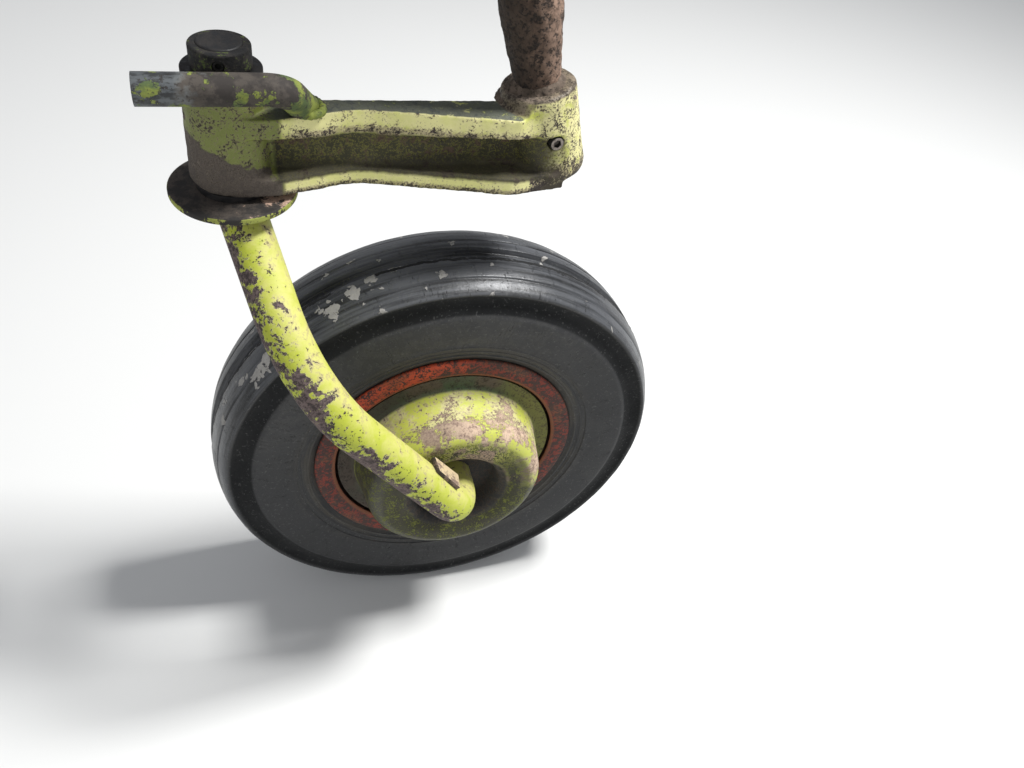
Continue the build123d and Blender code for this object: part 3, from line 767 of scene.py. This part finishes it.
# Painted shade: the recess is dark.
recess_painted_shade = sheet.step(top_arc * (-5 * mm) - out, -47 * mm, -42 * mm)
high = sheet.step(up + across * 0.32 + (patch - 0.5) * (30 * mm), 12 * mm, 26 * mm)
inner_lip = (1 - sheet.step(rimward, -0.15, 0.40)) * (1 - on_ring) * (1 - recess_painted_shade)
mottle = ragged * 0.45 + fine * 0.55
paint = sheet.mix(sheet.step(patch, 0.44, 0.56), shield_bright, shield_pale)
paint = sheet.mix(sheet.step(mottle + patch * 0.3, 0.635, 0.69) * 0.7, paint, shield_thin)
rust = sheet.mix(sheet.step(mottle, 0.46, 0.56), shield_rust_pale, shield_rust_brown)
shaded = sheet.step(across * -1 + (patch - 0.5) * (40 * mm), -12 * mm, 28 * mm)
rust = sheet.mix(shaded * 0.6, rust, shield_rust_shaded)
band_place = sheet.band(along + (patch - 0.5) * (36 * mm), -79 * mm, -62 * mm, 4 * mm)
band_rust = sheet.step(band_place * 0.09 + mottle * 0.5 + patch * 0.5, 0.535, 0.578)
band_rust = band_rust * (1 - on_ring) * high
colour = sheet.mix(band_rust * 0.92, paint, rust)
specks = sheet.step(mottle + inner_lip * 0.03 - high * 0.024, 0.545, 0.580)
colour = sheet.mix(specks * 0.88, colour, shield_speck)
# Painted shade: the lower wall and the lip's inner slope are olive.
olive_painted_shade = sheet.mix(sheet.step(mottle, 0.51, 0.545), olive_shade_dark, olive_shade_green)
crest = inner_lip * (1 - top_arc * sheet.step(mottle, 0.470, 0.515) * 0.9)
low_wall_painted_shade = (1 - high) * (1 - on_ring)
colour = sheet.mix((crest | low_wall_painted_shade) * 0.95, colour, olive_painted_shade)
ring_tone = sheet.mix(sheet.step(patch, 0.44, 0.56), ring_brown, ring_grey)
wall_foot = sheet.step(out * -1 + (patch - 0.5) * (24 * mm), -88 * mm, -80 * mm)
ring_tone = sheet.mix(wall_foot * 0.65, ring_tone, ring_moss)
# Painted light on the ring's right side, painted shade on its left.
ring_right_painted_light = sheet.step(across + (patch - 0.5) * (60 * mm), 20 * mm, 70 * mm)
ring_tone = sheet.mix(ring_right_painted_light * 0.85, ring_tone, ring_lit_lime)
ring_left_painted_shade = sheet.step(across * -1 + (patch - 0.5) * (40 * mm), 15 * mm, 60 * mm)
ring_tone = sheet.mix(ring_left_painted_shade * 0.7, ring_tone, ring_shade_dark)
ring_tone = sheet.mix(sheet.step(mottle, 0.50, 0.56) * 0.75, ring_tone, ring_speck)
colour = sheet.mix(on_ring, colour, ring_tone)
recess_shade_tone = sheet.mix(sheet.step(mottle, 0.46, 0.56), recess_shade_black, recess_shade_brown)
colour = sheet.mix(recess_painted_shade, colour, recess_shade_tone)
dull = on_ring | recess_painted_shade | band_rust | specks | inner_lip
shield_paint = sheet.finish(colour, 0.52 + dull * 0.34, 0.0, 1 - (specks | band_rust) + fine * 0.4, 0.4 * mm)
settle(shield, shield_paint, "leg", "shield_paint", "wheel_shield")


# Tyre: moulded rubber with a ribbed implement tread, sharp shoulders, an undercut and a ridge down
# each side. Years of sun have opened cracks along the middle groove and across the sidewall, and
# dried mud sticks to the tread. Its sides are plain.
def turned_on_wheel(name, rows, steps):
    """A ring turned about the axle from a closed outline of (along the axle, out from it, rounding)."""
    spots = [wheel_centre + Vector((0, row[0], row[1])) * mm for row in rows]
    bpy.ops.object.select_all(action="DESELECT")
    bpy.ops.mesh.primitive_plane_add(size=mm)
    piece = start(name)
    bpy.ops.mesh.merge(type="CENTER")
    bpy.ops.transform.translate(value=spots[0])
    for here, there in zip(spots, spots[1:]):
        bpy.ops.mesh.extrude_region_move(TRANSFORM_OT_translate={"value": there - here})
    choose(piece, lambda point: min((point - spots[0]).length, (point - spots[-1]).length) < 0.001 * mm)
    bpy.ops.mesh.edge_face_add()
    for spot, row in zip(spots, rows):
        if row[2]:
            choose(piece, lambda point: (point - spot).length < 0.001 * mm)
            bpy.ops.mesh.bevel(offset=row[2] * mm, segments=3, affect="VERTICES")
    bpy.ops.mesh.select_all(action="SELECT")
    bpy.ops.mesh.spin(steps=steps, angle=2 * pi, center=wheel_centre, axis=(0, 1, 0))
    bpy.ops.mesh.select_all(action="SELECT")
    bpy.ops.mesh.remove_doubles(threshold=0.005 * mm)
    bpy.ops.mesh.normals_make_consistent(inside=False)
    bpy.ops.object.mode_set(mode="OBJECT")
    return piece


side_rows = [
    # along the axle, out from it, rounding
    (-33.8, 112.9, 0),
    (-36.2, 117.4, 0),
    (-36.9, 118.0, 0.3),
    (-37.0, 119.2, 0.3),
    (-36.5, 119.9, 0),
    (-37.2, 122.4, 0),
    (-37.9, 123.0, 0.3),
    (-38.0, 124.0, 0.3),
    (-37.6, 124.7, 0),
    (-38.2, 127.6, 0),
    (-39.0, 128.2, 0.3),
    (-39.1, 129.2, 0.3),
    (-38.8, 130.0, 0),
    (-39.9, 136.0, 0),
    (-41.0, 145.0, 3.0),
    (-41.8, 154.0, 3.0),
    (-42.0, 160.6, 0.7),
    (-40.9, 163.0, 0.8),
    (-38.8, 167.4, 2.0),
    (-37.3, 172.0, 2.0),
    (-37.2, 176.5, 1.6),
    (-38.6, 179.6, 1.0),
]
crown_rows = [
    (-40.0, 182.0, 0.5),
    (-38.2, 183.7, 1.0),
    (-35.2, 185.7, 2.0),
    (-28.9, 188.5, 0.3),
    (-28.5, 187.7, 0.2),
    (-27.6, 188.1, 0.2),
    (-26.6, 189.3, 0.6),
    (-20.5, 191.1, 3.0),
    (-14.4, 192.1, 3.0),
    (-7.4, 192.8, 0.5),
    (-6.4, 191.6, 0.4),
    (-5.4, 188.4, 0.8),
    (2.6, 188.2, 0.8),
    (3.5, 192.6, 0.6),
    (12.9, 192.3, 0.4),
    (13.5, 191.0, 0.3),
    (14.3, 190.9, 0.3),
    (15.0, 192.0, 0.4),
    (20.5, 191.1, 3.0),
    (26.6, 189.4, 0.5),
    (27.4, 188.3, 0.2),
    (28.3, 188.6, 0.3),
    (35.2, 185.7, 2.0),
    (38.2, 183.7, 1.0),
    (40.0, 182.0, 0.5),
]
far_side_rows = [(-along, out, rounding) for along, out, rounding in reversed(side_rows)]
inside_rows = [
    (30.8, 101.9, 0),
    (17.9, 101.9, 0),
    (34.0, 127.0, 0),
    (34.0, 161.0, 0),
    (24.0, 177.0, 0),
    (-24.0, 177.0, 0),
    (-34.0, 161.0, 0),
    (-34.0, 127.0, 0),
    (-17.9, 101.9, 0),
    (-30.8, 101.9, 0),
]
wear_size = 26 * mm
wear_depth = 0.7 * mm
tear_at = -7.0 * mm
tear_reach = 1.6 * mm
tear_depth = 2.2 * mm
tread_r = 190 * mm
tyre = turned_on_wheel("ribbed_tyre", side_rows + crown_rows + far_side_rows + inside_rows, 288)
roughen(tyre, "rubber_wear", wear_size, 3, wear_depth)
# The groove's near edge is torn
mesh = bmesh.new()
mesh.from_mesh(tyre.data)
for vertex in mesh.verts:
    from_middle = vertex.co - wheel_centre
    out = Vector((from_middle.x, 0, from_middle.z))
    ragged_edge = max(0, 1 - abs(from_middle.y - tear_at) / tear_reach)
    if ragged_edge and out.length > tread_r:
        bite = max(0, noise(vertex.co * 180) + 0.3) + max(0, noise(vertex.co * 420)) * 0.6
        vertex.co -= out.normalized() * ragged_edge * bite * tear_depth
mesh.to_mesh(tyre.data)
mesh.free()
rubber_black = (0.011, 0.0115, 0.0125)
rubber_grey = (0.021, 0.0215, 0.023)
rubber_brown = (0.045, 0.039, 0.029)
rubber_bloom = (0.100, 0.104, 0.112)
rubber_speck = (0.14, 0.14, 0.135)
rubber_shadow = (0.004, 0.0045, 0.005)
crack_black = (0.004, 0.004, 0.004)
side_dust_sunlit_dark = (0.031, 0.031, 0.032)
side_dust_sunlit_light = (0.048, 0.0475, 0.046)
mud_grey = (0.27, 0.26, 0.24)
mud_pale = (0.47, 0.45, 0.42)
sheet = Sheet("tyre_rubber")
across, along, up, out = sheet.on_wheel()
around = across.sum("ARCTAN2", up)
dust = sheet.noise(45 * mm, 6, 0.65)
speck = sheet.noise(2.4 * mm, 5, 0.7)
ragged = sheet.noise(9 * mm, 7, 0.7)
round_streak = {0: around * 0.02, 1: out * 2.0, 2: along * 2.0}
streak = sheet.noise(9 * mm, 5, 0.6, 0.0, sheet.node("ShaderNodeCombineXYZ", {}, round_streak))
out_streak = {0: around * 0.22, 1: out * 0.18, 2: along * 0.18}
radial = sheet.noise(7 * mm, 5, 0.65, 0.3, sheet.node("ShaderNodeCombineXYZ", {}, out_streak))
# The sidewall's upper left: dust, painted lighter also as sunlight.
sidewall_dust_and_sunlight = sheet.step(up - across * 0.35 + (dust - 0.5) * (120 * mm), 30 * mm, 130 * mm)
on_tread = sheet.step(out, 180 * mm, 184 * mm)
in_undercut = sheet.band(out, 163.5 * mm, 180 * mm, 1.2 * mm) * (1 - on_tread)
near_rim = sheet.step(out * -1, -138 * mm, -118 * mm)
colour = sheet.mix(sheet.step(dust, 0.42, 0.60), rubber_black, rubber_grey)
dusty = sheet.mix(sheet.step(ragged, 0.44, 0.56), side_dust_sunlit_dark, side_dust_sunlit_light)
colour = sheet.mix(sidewall_dust_and_sunlight * (1 - on_tread) * 0.75, colour, dusty)
colour = sheet.mix(on_tread * sheet.step(streak, 0.34, 0.64) * 0.8, colour, rubber_bloom)
colour = sheet.mix(near_rim * sheet.step(streak, 0.42, 0.58) * 0.75, colour, rubber_brown)
colour = sheet.mix(in_undercut * 0.95, colour, rubber_shadow)
colour = sheet.mix(sheet.step(speck, 0.58, 0.66) * 0.35, colour, rubber_speck)
mud_area = sheet.band(around, -1.15, -0.12, 0.25) * sheet.band(along, -41 * mm, -6 * mm, 4 * mm)
spots = sheet.step(sheet.noise(14 * mm, 3, 0.55, 0.2) + mud_area * 0.10, 0.680, 0.705) * on_tread
colour = sheet.mix(spots * 0.9, colour, sheet.mix(speck, mud_grey, mud_pale))
cracks = sheet.step((radial - 0.5).sum("ABSOLUTE") * -1, -0.0060, -0.002)
cracks = cracks * sheet.step(ragged, 0.52, 0.56) * sheet.step(out, 124 * mm, 132 * mm)
beside_groove = along + 9.6 * mm + (ragged - 0.5) * (6 * mm)
groove_crack = sheet.step(beside_groove.sum("ABSOLUTE") * -1, -1.7 * mm, -1.3 * mm)
groove_crack = groove_crack * on_tread * sheet.step(sheet.noise(24 * mm, 3, 0.6), 0.38, 0.43)
colour = sheet.mix(cracks | groove_crack, colour, crack_black)
rough = 0.60 - on_tread * 0.28 + in_undercut * 0.3 + sheet.step(dust, 0.42, 0.6) * 0.10
rough = rough + (spots | groove_crack) * 0.4
height = speck * 0.25 + streak * 0.22 + spots * 0.9 - (cracks | groove_crack) * 1.2 + ragged * 0.3
tyre_rubber = sheet.finish(colour, rough, 0.0, height, 0.8 * mm)
settle(tyre, tyre_rubber, "wheel", "tyre", "tyre")

# Rim and disc: rolled from sheet steel and welded together. The rim's rolled lips are orange red
# and specked with rust; the dished disc on the outer side has gone brown.
rim_rows = [
    (-34.0, 112.8, 0.4),
    (-35.6, 113.3, 0.8),
    (-37.0, 112.4, 1.0),
    (-37.6, 108.8, 2.0),
    (-37.2, 102.0, 2.0),
    (-36.4, 97.6, 1.2),
    (-35.2, 95.9, 0.5),
    (-33.4, 96.6, 0.8),
    (-30.0, 98.6, 1.5),
    (-17.5, 98.6, 2.0),
    (-11.5, 85.6, 2.0),
    (11.5, 85.6, 2.0),
    (17.5, 98.6, 2.0),
    (32.0, 98.6, 1.5),
    (35.2, 100.4, 1.5),
    (37.0, 104.0, 2.0),
    (37.6, 108.8, 2.0),
    (37.0, 112.4, 1.0),
    (35.6, 113.3, 0.8),
    (34.0, 112.8, 0.4),
    (31.2, 101.6, 0.8),
    (16.0, 101.6, 2.0),
    (10.0, 88.6, 2.0),
    (-10.0, 88.6, 2.0),
    (-16.0, 101.6, 2.0),
    (-31.2, 101.6, 0.8),
]
rim_red = (0.50, 0.068, 0.025)
rim_shaded = (0.215, 0.032, 0.017)
rim_speck = (0.050, 0.024, 0.019)
rim_rust_light = (0.175, 0.070, 0.030)
rim_rust_dark = (0.070, 0.036, 0.024)
rim_edge = (0.23, 0.080, 0.030)
rim_barrel_shade = (0.030, 0.018, 0.014)
disc_light = (0.16, 0.085, 0.055)
disc_brown = (0.085, 0.048, 0.034)
disc_pale = (0.27, 0.16, 0.105)
disc_red = (0.40, 0.085, 0.035)
disc_speck = (0.030, 0.018, 0.013)
rim = turned_on_wheel("rolled_rim", rim_rows, 256)
sheet = Sheet("rim_paint")
across, along, up, out = sheet.on_wheel()
around = across.sum("ARCTAN2", up)
patch = sheet.noise(32 * mm, 6, 0.65)
ragged = sheet.noise(6 * mm, 8, 0.7)
fine = sheet.noise(2 * mm, 5, 0.7)
round_streak = {0: around * 0.03, 1: out, 2: along}
streak = sheet.noise(9 * mm, 5, 0.6, 0.0, sheet.node("ShaderNodeCombineXYZ", {}, round_streak))
mottle = ragged * 0.45 + fine * 0.55
bright_part = sheet.step(up * 0.9 - across * 0.45 + (patch - 0.5) * (90 * mm), 85 * mm, 100 * mm)
red = sheet.mix(bright_part, rim_shaded, rim_red)
colour = sheet.mix(sheet.step(mottle - bright_part * 0.040, 0.450, 0.510), red, rim_speck)
rusty = sheet.mix(sheet.step(fine, 0.44, 0.56), rim_rust_light, rim_rust_dark)
brown_part = sheet.step(streak * 0.6 + patch * 0.4 - bright_part * 0.03, 0.50, 0.56)
colour = sheet.mix(brown_part * 0.5, colour, rusty)
lip_edge = sheet.step(out * -1, -99.5 * mm, -98 * mm)
colour = sheet.mix(lip_edge * 0.7, colour, rim_edge)
# Painted shade: the rim's barrel, deep between its lips, is darkened.
barrel_painted_shade = sheet.step(along, -34 * mm, -32 * mm) * sheet.step(along * -1, -34 * mm, -32 * mm)
colour = sheet.mix(barrel_painted_shade * 0.85, colour, rim_barrel_shade)
rim_paint = sheet.finish(colour, 0.76, 0.0, mottle, 0.5 * mm)
settle(rim, rim_paint, "wheel", "rim_paint", "rim")
sheet = Sheet("disc_rust")
out = sheet.on_wheel()[3]
patch = sheet.noise(28 * mm, 6, 0.66)
ragged = sheet.noise(6 * mm, 8, 0.7)
fine = sheet.noise(2 * mm, 5, 0.7)
colour = sheet.mix(sheet.step(patch, 0.38, 0.62), disc_light, disc_brown)
colour = sheet.mix(sheet.step(ragged, 0.54, 0.62), colour, disc_pale)
red_left = sheet.step(patch * 0.5 + ragged * 0.5 + sheet.step(out, 78 * mm, 96 * mm) * 0.07, 0.585, 0.60)
colour = sheet.mix(red_left, colour, disc_red)
colour = sheet.mix(sheet.step(fine, 0.60, 0.68), colour, disc_speck)
disc_rust = sheet.finish(colour, 0.85, 0.0, fine * 0.5 + ragged * 0.5, 0.5 * mm)
dress("wheel_disc", disc_rust)
dress("hub", disc_rust)

# Hub seal, cap and valve: the cap is a pressed dome, red, and chipped to grey on top; the valve is
# a rubber snap-in with a plastic cap.
cap_red = (0.52, 0.105, 0.055)
cap_red_dark = (0.40, 0.085, 0.050)
cap_grey = (0.36, 0.34, 0.32)
cap_grey_dark = (0.16, 0.13, 0.115)
seal_black = (0.020, 0.020, 0.020)
seal_dust = (0.075, 0.066, 0.055)
plastic_black = (0.018, 0.018, 0.019)
plastic_dust = (0.050, 0.048, 0.044)
sheet = Sheet("cap_paint")
along = sheet.on_wheel()[1]
chips = sheet.noise(12 * mm, 8, 0.7)
fine = sheet.noise(2 * mm, 5, 0.7)
crown = sheet.step(along, 44 * mm, 53 * mm)
bare = sheet.step(chips + crown * 0.09, 0.58, 0.60)
colour = sheet.mix(sheet.step(fine, 0.40, 0.65), cap_red, cap_red_dark)
colour = sheet.mix(bare, colour, sheet.mix(fine, cap_grey, cap_grey_dark))
cap_paint = sheet.finish(colour, 0.50 + bare * 0.25, 0.0, 1 - bare + fine * 0.3, 0.3 * mm)
dress("hub_cap", cap_paint)
sheet = Sheet("seal_rubber")
dusty = sheet.noise(5 * mm, 5, 0.65)
colour = sheet.mix(sheet.step(dusty, 0.4, 0.65), seal_black, seal_dust)
rubber = sheet.finish(colour, 0.7, 0.0, dusty, 0.2 * mm)
dress("hub_seal", rubber)
dress("valve_stem", rubber)
sheet = Sheet("cap_plastic")
dusty = sheet.noise(4 * mm, 4, 0.6)
colour = sheet.mix(dusty, plastic_black, plastic_dust)
plastic = sheet.finish(colour, 0.42, 0.0, dusty, 0.1 * mm)
dress("valve_cap", plastic)
